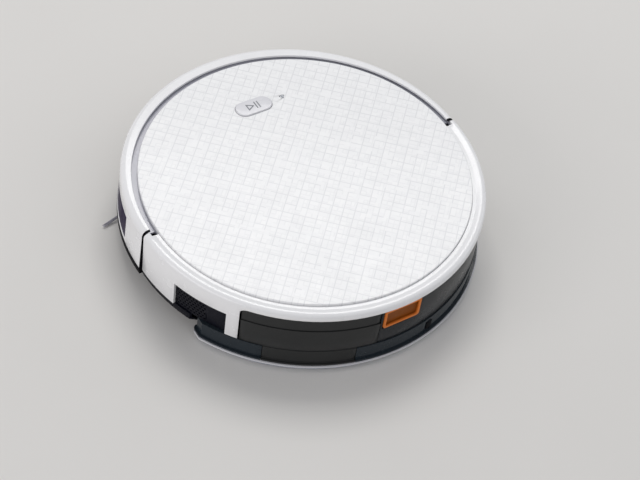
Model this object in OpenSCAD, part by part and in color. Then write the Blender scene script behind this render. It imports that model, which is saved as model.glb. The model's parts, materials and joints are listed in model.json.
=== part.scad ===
// Round robot vacuum with a mopping tank, resting on its wheels and mop cloth.
// Origin: on the floor below the middle. +Y is forward (bumper), -Y the dust bin, +Z up.

/* [Body] */
// Outer radius of the rear shell
body_r = 165; // [164.8:0.1:165.2]
// Height of the top panel above the floor
body_h = 75; // [75:0.5:77]
// Radius of the flat top panel
disc_r = 152; // [151.6:0.1:152.1]
// Lower edge of the white shells
shell_z = 27; // [26.8:0.1:27.2]
// Underside of the base
floor_z = 9; // [9:0.1:9.2]
// Wall thickness of shells and base
wall = 2.5; // [2.4:0.1:2.6]

/* [Bumper] */
// How far the bumper's circle is set forward of the body's
bumper_shift = 5.5; // [5:0.5:6]
// Inner edge of the bumper's top, from the body's axis
bumper_inner_r = 157.5; // [157:0.5:158]
// Gap at the two seams, taken up when the bumper is pressed
seam_gap = 2.4; // [2.4:0.1:2.8]
// Half angle of the dark sensor window about the front
window_half = 79; // [60:1:80]
// Lower edge of the sensor window
window_z0 = 31; // [30:1:36]
// Upper edge of the sensor window
window_z1 = 58; // [52:1:60]

/* [Rear] */
// Half width of the opening for the dust bin
bin_opening_x = 128; // [127.8:0.1:128.4]
// Top of the dust bin opening
bin_opening_top = 68; // [68:0.1:68.2]
// Start of an exhaust opening, in degrees from the rear
grille_a0 = 55; // [54.5:0.5:56]
// End of an exhaust opening, in degrees from the rear
grille_a1 = 74; // [72:1:74]
// Top of an exhaust opening
grille_top = 54; // [52:1:56]

/* [Wheels] */
// Radius of a drive tyre
wheel_r = 33; // [32.8:0.1:33]
// Width of a drive wheel
wheel_w = 22; // [20:1:22]
// Middle of a drive wheel from the centre line
wheel_x = 110; // [110:0.5:111]
// Height of the suspension pivot
pivot_z = 38; // [37:0.5:39]
// Distance of the suspension pivot in front of the axle
pivot_y = 46; // [45.5:0.5:47]

/* [Caster] */
// Distance of the caster's swivel axis in front of the middle
caster_y = 122; // [120:1:123]
// Radius of the caster wheel
caster_r = 13; // [12:0.5:13]
// Trail of the caster wheel
caster_trail = 6; // [5:0.5:6]

/* [Brushes] */
// Main brush axis, distance behind the middle
brush_back = 28; // [28:0.5:28.5]
// Main brush axis height
brush_z = 22.5; // [22.5:0.5:23]
// Main brush radius over the bristles
brush_r = 21.5; // [20:0.5:22]
// Side brush axis from the centre line
side_x = 103; // [102:0.5:104]
// Side brush axis in front of the middle
side_y = 92; // [91:0.5:93]
// Reach of a side brush bristle from its axis
side_reach = 60; // [50:1:60]

/* [Tank and mop] */
// Outer radius of the tank's curved wall
tank_r = 164.8; // [164.6:0.1:165]
// Half width of the tank
tank_x = 146.5; // [146:0.5:147]
// Top of the tank
tank_top = 26; // [25.5:0.1:26]
// Outer radius of the mop plate
plate_r = 168.2; // [168:0.1:168.5]
// Thickness of the mop plate's rim
plate_t = 1.8; // [1.6:0.1:2]

/* [Hidden] */
$fn = 96;

// Levels and radii that follow from the driving dimensions
tray_r = body_r - 1.4;
front_r = body_r - 5.5;
toe_r = body_r - 2.5;
deck_z = body_h - 7;
deck_t = 2;
crest_z = body_h - 0.8;
shell_in = body_r - wall;
bumper_in = body_r - wall;
bumper_flare = 1.8;
strip_r = body_r + bumper_flare + 0.2;
seam_tab = 0.9;
lip_drop = 4.8;
brush_y = -brush_back;

// Dust bay behind the brush
bay_front = -58;
bay_side = 125.5;
shelf_z = tank_top + 0.3;
shelf_t = 1.5;
bin_z = shelf_z + shelf_t + 0.4;
bin_x = bay_side - 1;
bin_r = 162.3;
bin_t = 2;
bin_top = deck_z - 3;
face_top = deck_z - 0.5;
face_split = -7.6;
step_z = 53;
port_x = 60;
dirt_port = [32, 46];
air_port = [51, 63];
air_x = 44;

// Release button in the middle of the bin's face
release_x = 18.6;
release_z = 45.2;
release_top = 67.2;
release_y = -163.9;
release_rim = 2.2;

// Start button on the top panel
button_y = 95.5;
button_l = 37;
button_w = 18;
button_top = body_h + 1;
button_z = body_h - 3.4;

// Fits
run = 0.05;
gap = 0.3;

// ---------- shared shapes ----------

function arc(c, r, a0, a1, n) =
    [for (i = [0:n]) c + r * [cos(a0 + (a1 - a0) * i / n), sin(a0 + (a1 - a0) * i / n)]];

function pill(l, w) = concat(
    arc([(l - w) / 2, 0], w / 2, -90, 90, 20),
    arc([-(l - w) / 2, 0], w / 2, 90, 270, 20));

function rounded(x, z0, z1, f) = concat(
    [[x, z0]],
    arc([x - f, z1 - f], f, 0, 90, 8),
    arc([-x + f, z1 - f], f, 90, 180, 8),
    [[-x, z0]]);

function cup(x, z0, z1, f) = concat(
    arc([-x + f, z0 + f], f, 180, 270, 8),
    arc([x - f, z0 + f], f, 270, 360, 8),
    [[x, z1], [-x, z1]]);

// Outline of a disc's rear part: arc of radius r, sides at x, front edge at y, corners of radius f
function d_outline(r, x, y, f) =
    let (cy = -sqrt((r - f) * (r - f) - (x - f) * (x - f)), a = atan2(cy, x - f))
    concat(
        arc([x - f, y - f], f, 90, 0, 6),
        arc([x - f, cy], f, 0, a, 6),
        arc([0, 0], r, a - 1, -179 - a, 96),
        arc([-x + f, cy], f, -180 - a, -180, 6),
        arc([-x + f, y - f], f, 180, 90, 6));

module block(x0, x1, y0, y1, z0, z1) {
    translate([x0, y0, z0]) cube([x1 - x0, y1 - y0, z1 - z0]);
}

module rod(x, y, r, z0, z1) {
    translate([x, y, z0]) cylinder(r = r, h = z1 - z0);
}

// Cylinder along X
module bar(x0, x1, y, z, r) {
    translate([x0, y, z]) rotate([0, 90, 0]) cylinder(r = r, h = x1 - x0);
}

// Ring piece between two angles, counted from +X
module ring(r0, r1, z0, z1, a0, a1) {
    rotate([0, 0, a0]) rotate_extrude(angle = a1 - a0)
        translate([r0, z0]) square([r1 - r0, z1 - z0]);
}

// Ring piece between two angles counted from the rear, positive towards +X
module rear_ring(r0, r1, z0, z1, a0, a1) {
    ring(r0, r1, z0, z1, a0 - 90, a1 - 90);
}

module both_sides() {
    children();
    mirror([1, 0, 0]) children();
}

// Local frame on the side wall: +X outwards at angle a
module at_side(a) {
    rotate([0, 0, a]) children();
}

// Prism along Y through an outline in X and Z
module along_y(points, y0, y1) {
    translate([0, y1, 0]) rotate([90, 0, 0]) linear_extrude(y1 - y0) polygon(points);
}

// Coil spring standing on the origin along Z
module coil(r, wire, h, turns) {
    sides = 6;
    steps = round(turns * 16);
    points = [for (i = [0:steps], k = [0:sides - 1])
        let (a = 360 * turns * i / steps, b = 360 * k / sides, d = r + wire * cos(b))
        [d * cos(a), d * sin(a), wire + (h - 2 * wire) * i / steps + wire * sin(b)]];
    skin = [for (i = [0:steps - 1], k = [0:sides - 1])
        let (k2 = (k + 1) % sides)
        [i * sides + k, (i + 1) * sides + k, (i + 1) * sides + k2, i * sides + k2]];
    ends = [
        [for (k = [0:sides - 1]) k],
        [for (k = [sides - 1:-1:0]) steps * sides + k]];
    polyhedron(points, concat(skin, ends));
}

// ---------- chassis ----------

well_x = [88.5, 123];
well_y = [-38, 60];
well_wall = 2;
posts = [[60, 112], [138, 60], [137, -30]];
guard = [84, -56, 0];
cliffs = [[34, 141], [128, 66]];

module wheel_well(grow, z0, z1) {
    block(well_x[0] - grow, well_x[1] + grow, well_y[0] - grow, well_y[1] + grow, z0, z1);
}

module well_walls() {
    difference() {
        wheel_well(well_wall, floor_z + 0.1, deck_z - 0.1);
        wheel_well(0, 0, body_h);
    }
}

module tray_shell() {
    in = tray_r - wall;
    front_in = front_r - wall + 0.5;
    up = floor_z + wall;
    ring_profile(180, [[0, floor_z], [tray_r - 13.6, floor_z], [tray_r, floor_z + 11], [tray_r, shell_z],
        [in, shell_z], [in, floor_z + 12], [in - 12, up], [0, up]]);
    ring(front_in, front_r, floor_z + 6, deck_z - 0.1, 0, 180);
    intersection() {
        translate([0, bumper_shift, 0]) rotate_extrude() polygon([[0, floor_z], [toe_r - 13.5, floor_z],
            [toe_r, floor_z + 8.5], [toe_r, floor_z + 11], [toe_r - 12, floor_z + 11],
            [toe_r - 12, floor_z + 4.2], [toe_r - 15, up], [0, up]]);
        block(-body_r, body_r, 0, 200, 0, 100);
    }
}

// Half turn of a profile, starting at angle a
module ring_profile(a, points) {
    rotate([0, 0, a]) rotate_extrude(angle = 180) polygon(points);
}

module base_tray() {
    color("dimgray") difference() {
        union() {
            difference() {
                tray_shell();
                block(-body_r, body_r, -body_r, bay_front - 4, 0, deck_z);
            }
            both_sides() for (p = posts) rod(p[0], p[1], 4.5, floor_z + 1, deck_z - 0.1);
        }
        both_sides() {
            wheel_well(well_wall + 0.1, 0, body_h);
            for (p = posts) {
                rod(p[0], p[1], 3.4, 0, floor_z + 1.6);
                rod(p[0], p[1], 1.6, 0, 30);
            }
            rod(side_x, side_y, 3, 0, 20);
            for (c = cliffs) translate([c[0], c[1], 0]) rotate([0, 0, atan2(-c[0], c[1])])
                block(-9, 9, -4.5, 4.5, 0, 20);
            block(27, 43, 108, 116, 0, 20);
        }
        rod(0, caster_y, 24.3, 0, 20);
        block(-guard[0] - gap, guard[0] + gap, guard[1] - gap, guard[2] + gap, 0, 20);
        block(-70, 70, 52, 96, 0, 20);
    }
}

module rear_profile() {
    ring_profile(180, [[0, deck_z], [shell_in, deck_z], [shell_in, shell_z], [body_r, shell_z],
        [body_r, body_h - lip_drop], [body_r - 0.7, body_h - 2.8], [body_r - 2.4, body_h - 1.4],
        [body_r - 4.6, crest_z], [body_r - 7, body_h - 1.5], [body_r - 9.5, body_h - 2.1],
        [disc_r + 0.35, body_h - 2.1], [disc_r + 0.35, deck_z + deck_t], [0, deck_z + deck_t]]);
}

module front_profile() {
    ring_profile(0, [[0, deck_z], [front_r + 0.5, deck_z], [front_r + 0.5, deck_z + deck_t],
        [0, deck_z + deck_t]]);
}

module upper_shell() {
    color("white") difference() {
        union() {
            rear_profile();
            front_profile();
        }
        along_y(rounded(bin_opening_x, 0, bin_opening_top, 5), -180, -90);
        both_sides() {
            rear_ring(150, 175, 0, grille_top, grille_a0, grille_a1);
            block(disc_r + 0.3, disc_r + 7, -3.8, seam_gap, deck_z - 1, body_h + 1);
        }
        rod(0, button_y, 3.4, deck_z - 1, body_h);
        at_side(-6) bar(150, 175, 0, 46, 5);
        at_side(-13) block(150, 175, -7.2, 7.2, 37.8, 54.2);
    }
}

module top_disc() {
    edge = disc_r - 2.4;
    color("white") difference() {
        rotate_extrude() polygon([[0, body_h - 2.4], [edge, body_h - 2.4], [edge, deck_z + deck_t + 0.1],
            [disc_r, deck_z + deck_t + 0.1], [disc_r, body_h - 0.5], [disc_r - 0.5, body_h], [0, body_h]]);
        translate([0, button_y, 0])
            linear_extrude(body_h + 5) polygon(pill(button_l + 2 * gap, button_w + 2 * gap));
        rod(31, 96, 1.7, 0, body_h + 5);
    }
}

module wifi_light() {
    color("lightblue") rod(31, 96, 1.6, body_h - 3, body_h + 0.1);
}

// Walls of the dust bay: shelf, sides and the front wall with the dirt and air ports
module bay_frame() {
    color("#2b2b2e") difference() {
        union() {
            intersection() {
                cylinder(r = 160, h = 100);
                block(-bay_side - 2, bay_side + 2, -170, bay_front, shelf_z, shelf_z + shelf_t);
            }
            both_sides() intersection() {
                cylinder(r = 160, h = 100);
                block(bay_side, bay_side + 2, -170, bay_front, shelf_z, deck_z - 0.2);
            }
            block(-bay_side - 2, bay_side + 2, bay_front - 2, bay_front, 12, deck_z - 0.2);
        }
        block(-port_x, port_x, bay_front - 5, bay_front + 5, dirt_port[0], dirt_port[1]);
        block(-air_x, air_x, bay_front - 5, bay_front + 5, air_port[0], air_port[1]);
    }
}

// Circuit board on four standoffs under the deck
module main_board() {
    color("darkgreen") union() {
        for (x = [-66, 66], y = [12, 98]) rod(x, y, 3, 59.4, deck_z - 0.1);
        block(-74, 74, 6, 104, 58, 59.5);
        block(-3, 3, button_y - 3, button_y + 3, 59.5, 62.9);
        for (x = [-50, -22, 24]) block(x, x + 14, 40, 54, 59.5, 61.3);
        for (x = [-40, -20, 20, 40]) rod(x, 72, 4, 59.5, 65);
        for (x = [-58, -30, 0, 30]) block(x, x + 12, 8, 14, 59.5, 64);
    }
}

module battery_pack() {
    color("royalblue") union() {
        for (x = [-66, 1], y = [64.6, 83.4]) bar(x, x + 65, y, 23, 9.2);
        block(-60, 60, 66, 82, 15, 20);
        block(-2, 2, 60, 88, 17, 29);
    }
}

module battery_door() {
    color("#303033") difference() {
        union() {
            block(-69.7, 69.7, 52.3, 95.7, floor_z, floor_z + wall);
            for (x = [-40:20:40]) block(x - 1, x + 1, 58, 90, floor_z - 0.4, floor_z + 1);
        }
        for (x = [-62, 62]) rod(x, 74, 3.2, 0, floor_z + 1.4);
        for (x = [-62, 62]) rod(x, 74, 1.5, 0, 30);
    }
}

module screw(x, y) {
    difference() {
        union() {
            rod(x, y, 2.8, floor_z + 0.2, floor_z + 1.4);
            rod(x, y, 1.3, floor_z + 1, floor_z + 9);
        }
        block(x - 2, x + 2, y - 0.4, y + 0.4, 0, floor_z + 0.8);
        block(x - 0.4, x + 0.4, y - 2, y + 2, 0, floor_z + 0.8);
    }
}

module base_screws() {
    color("gray") union() {
        both_sides() for (p = posts) screw(p[0], p[1]);
    }
}

// Flat centrifugal fan on top of the brush housing
fan_y = -26;
fan_r = 28;
fan_z = [49, 66.5];

module fan_housing() {
    color("#3a3a3d") difference() {
        union() {
            rod(0, fan_y, fan_r, fan_z[0], fan_z[1]);
            block(-18, 18, bay_front + 0.2, fan_y, fan_z[0] + 1, fan_z[1] - 1);
            block(0, 60, fan_y - 2, fan_y + 27, fan_z[0] + 2, fan_z[1] - 2);
        }
        rod(0, fan_y, fan_r - 2, fan_z[0] + 2, fan_z[1] - 2);
        block(-14, 14, bay_front - 1, fan_y, fan_z[0] + 4, fan_z[1] - 4);
        block(0, 61, fan_y + 1, fan_y + 24, fan_z[0] + 4, fan_z[1] - 4);
    }
}

module fan_impeller() {
    color("gray") difference() {
        union() {
            rod(0, fan_y, 23, fan_z[0] + 3, fan_z[0] + 4.5);
            rod(0, fan_y, 6, fan_z[0] + 3, fan_z[1] - 3);
            for (a = [0:40:320]) translate([0, fan_y, 0]) rotate([0, 0, a])
                block(5, 22.5, -0.6, 0.6, fan_z[0] + 4, fan_z[1] - 4);
        }
        rod(0, fan_y, 2, 0, 100);
    }
}

module exhaust_grilles() {
    columns = 9;
    rows = 7;
    color("#15171f") both_sides() difference() {
        rear_ring(160.6, 162.2, shell_z + 0.3, grille_top + 1.5, grille_a0 - 0.6, grille_a1 + 0.3);
        for (i = [0:columns - 1], k = [0:rows - 1])
            rotate([0, 0, -90 + 62.6 + i * 1.24 + (k % 2) * 0.62])
                bar(150, 175, 0, shell_z + 3.4 + k * 3.3, 1);
    }
}

module charge_contacts() {
    color("silver") both_sides() block(27.3, 42.7, 108.3, 115.7, floor_z - 0.4, floor_z + 1);
}

module cliff_sensors() {
    color("black") both_sides() for (c = cliffs)
        translate([c[0], c[1], 0]) rotate([0, 0, atan2(-c[0], c[1])])
            block(-8.7, 8.7, -4.2, 4.2, floor_z + 1.6, floor_z + 8);
}

module charge_socket() {
    color("black") at_side(-6) difference() {
        bar(148, 163.6, 0, 46, 4.8);
        bar(154.6, 170, 0, 46, 2.75);
    }
}

// Rocker switch on the right side, turning about a level axis along the wall
rocker_x = 158;
rocker_z = 46;
rocker_r = 6.2;
rocker_tilt = 7;

module switch_housing() {
    color("black") at_side(-13) difference() {
        block(150, 165.2, -6.9, 6.9, 38.1, 53.9);
        translate([rocker_x, 5, rocker_z]) rotate([90, 0, 0]) cylinder(r = rocker_r + gap, h = 10);
        block(rocker_x, 170, -5, 5, rocker_z - rocker_r - gap, rocker_z + rocker_r + gap);
    }
}

module power_rocker() {
    color("#404045") at_side(-13) translate([rocker_x, 4.7, rocker_z]) rotate([90, 0, 0])
        rotate([0, 0, -rocker_tilt]) intersection() {
            cylinder(r = rocker_r + 1.9, h = 9.4);
            linear_extrude(9.4) polygon(concat(
                arc([0, 0], rocker_r, 100, 260, 16),
                [[2, -rocker_r + 0.2], [7.9, -5.4], [6.4, 0], [7.9, 5.4], [2, rocker_r - 0.2]]));
        }
}

// Micro switches between the tray's rim and the bumper
module bumper_switches() {
    color("#2a2a55") both_sides() at_side(62) {
        block(front_r + 0.1, front_r + 3.4, -5, 5, 38, 46);
        bar(front_r + 3, front_r + 5, 2, 42, 1.2);
    }
}

module brush_housing() {
    top = 48;
    color("#333336") difference() {
        block(-79.5, 79.5, bay_front + 0.5, -2, floor_z + 3, top);
        bar(-90, 90, brush_y, brush_z, brush_r + 1.5);
        block(-90, 90, -51, -5, 0, brush_z);
        block(-port_x, port_x, -70, brush_y, dirt_port[0], dirt_port[1]);
    }
}

module brush_end(x0, x1, y1) {
    difference() {
        block(x0, x1, bay_front + 0.5, y1, floor_z + 3, 46);
        bar(x0 - 1, x1 + 1, brush_y, brush_z, 3 + run);
    }
}

// Gearbox with the brush motor beside it
module brush_drive() {
    color("#4a4a4d") union() {
        brush_end(-85.8, -79.7, 30);
        bar(-79.6, -42, 15, 30, 12);
        bar(-42, -38, 15, 30, 5);
    }
}

module brush_bearing() {
    color("#4a4a4d") brush_end(79.7, 85.8, -2);
}

module brush_guard() {
    color("#262629") union() {
        difference() {
            block(-guard[0], guard[0], guard[1], guard[2], floor_z - 1, floor_z + wall);
            block(-77, 77, -49, -8, 0, 20);
        }
        for (x = [-27, 27]) block(x - 1.2, x + 1.2, -50, -7, floor_z - 1, floor_z + 1);
    }
}

module side_brush_motors() {
    color("#555558") both_sides() {
        rod(side_x, side_y, 14, floor_z + 4, 40);
        rod(side_x, side_y, 2, 5.4, floor_z + 4);
    }
}

module caster_socket() {
    color("#333336") difference() {
        union() {
            rod(0, caster_y, 24, floor_z + 0.4, 40);
            rod(0, caster_y, 7, 40, 46);
        }
        rod(0, caster_y, 22, 0, 32);
        rod(0, caster_y, 4 + run, 0, 60);
    }
}

// Box around each drive wheel, with the peg that its arm turns on
module wheel_housings() {
    color("#2c2c2f") both_sides() {
        well_walls();
        bar(well_x[0] - 1, 97, pivot_y, pivot_z, 3);
    }
}

module suspension_springs() {
    color("silver") both_sides() translate([93.5, 2, 48.4]) coil(3, 0.4, deck_z - 48.6, 6);
}

// ---------- bumper ----------

module bumper_profile() {
    flange = body_h - 3.1;
    low = shell_z + 0.5;
    difference() {
        translate([0, bumper_shift, 0]) rotate_extrude() polygon([[140, flange], [bumper_in - 1, flange],
            [bumper_in, flange - 1.5], [bumper_in, low], [body_r + bumper_flare, low],
            [body_r, body_h - 8], [body_r, body_h - 6], [body_r - 1.2, body_h - 2.9],
            [body_r - 3, body_h - 1.3], [body_r - 5, body_h - 0.7], [140, body_h - 0.7]]);
        rod(0, 0, bumper_inner_r, 0, 100);
    }
}

module bumper_shell() {
    color("white") difference() {
        bumper_profile();
        block(-200, 200, -200, seam_gap + seam_tab, 0, 100);
        translate([0, bumper_shift, 0])
            ring(150, 180, window_z0, window_z1, 90 - window_half, 90 + window_half);
    }
}

module bumper_window() {
    color("#0c0a14") translate([0, bumper_shift, 0]) rotate([0, 0, 90.1 - window_half])
        rotate_extrude(angle = 2 * window_half - 0.2) polygon([
            [bumper_in + 0.3, window_z0 + 0.1], [body_r + bumper_flare - 0.5, window_z0 + 0.1],
            [body_r + 0.2, window_z1 - 0.1], [bumper_in + 0.3, window_z1 - 0.1]]);
}

// Rubber strip under the bumper, with a thin upright lining at each seam
module bumper_strip() {
    color("#1a1a1c") union() {
        difference() {
            translate([0, bumper_shift, 0]) rotate_extrude() polygon([
                [body_r - 1.8, floor_z + 11.6], [strip_r - 0.6, floor_z + 11.6], [strip_r, floor_z + 12.4],
                [strip_r, shell_z + 0.4], [body_r - 1.8, shell_z + 0.4]]);
            block(-200, 200, -200, seam_gap, 0, 100);
        }
        intersection() {
            union() {
                bumper_profile();
                translate([0, bumper_shift, 0]) ring(body_r - 1.8, body_r + 1, shell_z, shell_z + 1, 0, 360);
            }
            block(-200, 200, seam_gap, seam_gap + seam_tab - 0.1, 0, 100);
        }
    }
}

module bumper_springs() {
    y0 = sqrt(front_r * front_r - 40 * 40) + 0.4;
    y1 = bumper_shift + sqrt(bumper_in * bumper_in - 43 * 43) - 0.4;
    color("silver") both_sides() translate([40, y0, 62]) rotate([-90, 0, 0]) coil(3, 0.4, y1 - y0, 4);
}

// ---------- buttons ----------

module start_button() {
    color("gainsboro") translate([0, button_y, 0]) difference() {
        union() {
            translate([0, 0, button_z]) linear_extrude(button_top - button_z)
                polygon(pill(button_l, button_w));
            rod(0, 0, 2.8, button_z - 7.2, button_z + 1);
        }
        difference() {
            rod(0, 0, 6, button_z - 1, button_top - 1.6);
            rod(0, 0, 2.8, 0, 100);
        }
    }
}

module button_spring() {
    color("silver") translate([0, button_y, deck_z + deck_t + 0.1]) coil(4.5, 0.4, 4.1, 3);
}

// ---------- dust bin ----------

module bin_solid(r, x, y, z0, z1) {
    intersection() {
        cylinder(r = r, h = 100);
        block(-x, x, -170, y, z0, z1);
    }
}

module bin_body() {
    y = bay_front - 2.6;
    color("#3c4046", 0.8) difference() {
        union() {
            difference() {
                bin_solid(bin_r, bin_x, y, bin_z, bin_top);
                bin_solid(bin_r - bin_t, bin_x - bin_t, y - bin_t, bin_z + bin_t, 90);
            }
            bin_solid(bin_r - 1, release_x + 2.7, -150, release_z - 2.5, bin_top);
        }
        block(-release_x - 0.6, release_x + 0.6, -170, -152, release_z - 0.6, 90);
        block(-port_x + 1, port_x - 1, y - 5, y + 5, dirt_port[0] + 1, dirt_port[1] - 1);
        block(-air_x + 1, air_x - 1, y - 5, y + 5, air_port[0] + 1, air_port[1] - 1);
    }
}

module bin_lid() {
    color("#2f3236") difference() {
        bin_solid(bin_r, bin_x, bay_front - 2.6, bin_top + 0.05, bin_top + 2.3);
        block(-release_x - 0.6, release_x + 0.6, -170, -150, 0, 90);
    }
}

// Curved front of the bin between two angles from the rear, with rounded upper corners
module bin_front(r0, r1, z0, z1, a0, a1) {
    intersection() {
        rear_ring(r0, r1, z0, z1, a0, a1);
        along_y(rounded(bin_opening_x - 1.4, 0, face_top, 5), -180, -90);
    }
}

module bin_face() {
    color("#2c2b2a") union() {
        bin_front(bin_r + 0.1, 164.3, tank_top + 0.2, step_z, -50.4, face_split);
        bin_front(bin_r + 0.1, 163.3, step_z - 0.01, face_top, -50.4, face_split);
    }
}

module bin_window() {
    color("#3a4048") difference() {
        bin_front(bin_r + 0.1, 164, tank_top + 0.2, face_top, face_split + 0.2, 50.4);
        block(-release_x - 0.6, release_x + 0.6, -170, -150, release_z - 0.6, 90);
    }
}

filter_y = [bay_front - 13, bay_front - 4.8];

module filter_frame() {
    color("white") difference() {
        block(-48, 48, filter_y[0], filter_y[1], 48.8, bin_top - 0.2);
        block(-44, 44, filter_y[0] - 1, filter_y[1] + 1, 51, 63);
    }
}

module hepa_filter() {
    pleats = 22;
    pitch = 87.6 / pleats;
    y0 = filter_y[0] + 1;
    y1 = filter_y[1] - 1;
    zigzag = concat(
        [for (i = [0:pleats]) [-43.8 + i * pitch, (i % 2 == 0) ? y0 + 1 : y1]],
        [for (i = [pleats:-1:0]) [-43.8 + i * pitch, (i % 2 == 0) ? y0 : y1 - 1]]);
    color("ivory") translate([0, 0, 51.2]) linear_extrude(11.6) polygon(zigzag);
}

module release_button() {
    color("darkorange") difference() {
        along_y(cup(release_x, release_z, release_top, 3), release_y, -158);
        along_y(cup(release_x - release_rim, release_z + release_rim, release_top - release_rim, 2),
            release_y - 1, release_y + 2.4);
    }
}

module release_spring() {
    color("silver") translate([0, -157.9, 56]) rotate([-90, 0, 0]) coil(4, 0.4, 5.8, 4);
}

// ---------- tank and mop ----------

pump_a = [-43, -14];
tank_z = floor_z + 0.1;
flange_w = 2.4;
flange_t = 1.9;
plug_a = [11.4, 13.8];
plug_z = [13, 22.5];
cloth_t = 5;

module tank_block(inset, z0, z1) {
    intersection() {
        cylinder(r = tank_r - inset, h = 100);
        block(-tank_x + inset, tank_x - inset, -170, bay_front - 6 - inset, z0, z1);
    }
}

module water_tank() {
    color("#3e5a66", 0.7) difference() {
        union() {
            intersection() {
                tank_block(0, tank_z, tank_top);
                linear_extrude(100) polygon(d_outline(tank_r + 3, tank_x, bay_front - 6, 5));
            }
            translate([0, 0, tank_z]) linear_extrude(flange_t)
                polygon(d_outline(tank_r + flange_w, tank_x + flange_w, bay_front - 6.2, 4));
        }
        difference() {
            tank_block(2, tank_z + 2, tank_top - 2);
            rear_ring(146, 172, 0, 50, pump_a[0] - 1, pump_a[1] + 1);
        }
        rear_ring(148, 172, 0, 50, pump_a[0], pump_a[1]);
        rear_ring(tank_r - 3, tank_r + 1, plug_z[0] - 0.1, plug_z[1] + 0.1, plug_a[0] - 0.05, plug_a[1] + 0.05);
    }
}

module tank_pump() {
    color("#232324") union() {
        rear_ring(148.2, tank_r, tank_z, tank_top, pump_a[0] + 0.15, pump_a[1] - 0.15);
        rear_ring(148.2, tank_r + flange_w, tank_z, tank_z + flange_t, pump_a[0] + 0.15, pump_a[1] - 0.15);
    }
}

module tank_plug() {
    color("#151517") rear_ring(tank_r - 2, tank_r + 0.8, plug_z[0], plug_z[1], plug_a[0], plug_a[1]);
}

module mop_plate() {
    color("lightgray") union() {
        translate([0, 0, tank_z - plate_t - 0.1])
            linear_extrude(plate_t) polygon(d_outline(plate_r, 149.5, bay_front - 7, 4));
        translate([0, 0, cloth_t])
            linear_extrude(2.5) polygon(d_outline(plate_r - 2.5, 147, bay_front - 9, 4));
    }
}

module mop_cloth() {
    color("steelblue") linear_extrude(cloth_t) polygon(d_outline(plate_r - 4, 145.5, bay_front - 10, 4));
}

// ---------- main brush ----------

brush_core_r = 9;

module brush_core() {
    color("#e8862e") union() {
        bar(-79, 79, brush_y, brush_z, brush_core_r);
        bar(-85, 85, brush_y, brush_z, 3);
    }
}

// Six curved rows of bristles between two stations along the brush
module bristle_rows(x0, x1, twist) {
    translate([x0, brush_y, brush_z]) rotate([0, 90, 0])
        linear_extrude(x1 - x0, twist = twist, slices = 12, $fn = 4)
            for (a = [0:60:300]) rotate(a) translate([brush_core_r + 0.1, -0.9])
                square([brush_r - brush_core_r - 0.1, 1.8]);
}

module brush_bristles() {
    color("#30343a") union() {
        bristle_rows(-77, -29, -50);
        bristle_rows(-25, 25, 50);
        bristle_rows(29, 77, -50);
    }
}

// ---------- side brushes ----------

module side_hub() {
    difference() {
        union() {
            rod(side_x, side_y, 11, 5.6, 8.7);
            rod(side_x, side_y, 6, 3, 6);
            for (a = [0:120:240]) translate([side_x, side_y, 0]) rotate([0, 0, a - 11.5])
                bar(4, 15, 0, 6.4, 2.4);
        }
        rod(side_x, side_y, 2 + run, 4.6, 20);
        block(side_x - 2.4, side_x + 2.4, side_y - 0.5, side_y + 0.5, 0, 3.8);
        block(side_x - 0.5, side_x + 0.5, side_y - 2.4, side_y + 2.4, 0, 3.8);
    }
}

module side_bristles() {
    for (a = [0:120:240]) translate([side_x, side_y, 0]) rotate([0, 0, a - 11.5])
        translate([15.2, 0, 6]) rotate([0, 95.2, 0]) cylinder(r1 = 1.5, r2 = 0.9, h = side_reach - 15.2);
}

module side_brush_right() {
    color("#2a2a2c") side_hub();
}

module side_brush_left() {
    color("#2a2a2c") mirror([1, 0, 0]) side_hub();
}

module side_bristles_right() {
    color("tan") side_bristles();
}

module side_bristles_left() {
    color("tan") mirror([1, 0, 0]) side_bristles();
}

// ---------- drive wheels ----------

module arm() {
    difference() {
        union() {
            translate([90, 0, 0]) rotate([90, 0, 90]) linear_extrude(7)
                polygon([[-16, 22], [-6, 18], [8, 18], [52, 26], [56, 34], [56, 44], [50, 50], [-8, 48],
                    [-16, 42]]);
            bar(96.9, wheel_x + wheel_w / 2 - 4, 0, wheel_r, 3);
            bar(96.9, wheel_x + wheel_w / 2, pivot_y, pivot_z, 10);
        }
        bar(80, 97.5, pivot_y, pivot_z, 3 + run);
    }
}

module hub() {
    x0 = wheel_x - wheel_w / 2 + 0.4;
    x1 = wheel_x + wheel_w / 2;
    difference() {
        union() {
            bar(x0, x1 - 2, 0, wheel_r, 24);
            bar(x1 - 3, x1, 0, wheel_r, 9);
        }
        difference() {
            bar(x1 - 5, x1 + 1, 0, wheel_r, 21);
            bar(x0, x1 + 2, 0, wheel_r, 9);
            for (a = [0:60:300]) translate([x0, 0, wheel_r]) rotate([a, 0, 0])
                block(0, 30, -1.5, 1.5, 0, 22);
        }
        bar(x0 - 1, x1 - 3.5, 0, wheel_r, 3 + run);
    }
}

module tyre() {
    x0 = wheel_x - wheel_w / 2 + 0.4;
    x1 = wheel_x + wheel_w / 2 - 2;
    lugs = 30;
    difference() {
        bar(x0, x1, 0, wheel_r, wheel_r);
        bar(x0 - 1, x1 + 1, 0, wheel_r, 24.1);
        for (i = [0:lugs - 1]) translate([0, 0, wheel_r]) rotate([(i + 0.5) * 360 / lugs, 0, 0])
            block(x0 - 1, x1 + 1, -1, 1, wheel_r - 2.4, wheel_r + 2);
    }
}

module wheel_arm_right() {
    color("#3b3b3e") arm();
}

module wheel_arm_left() {
    color("#3b3b3e") mirror([1, 0, 0]) arm();
}

module wheel_hub_right() {
    color("#56565a") hub();
}

module wheel_hub_left() {
    color("#56565a") mirror([1, 0, 0]) hub();
}

module tyre_right() {
    color("#1c1c1e") tyre();
}

module tyre_left() {
    color("#1c1c1e") mirror([1, 0, 0]) tyre();
}

// ---------- caster ----------

caster_axle_y = caster_y - caster_trail;

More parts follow.
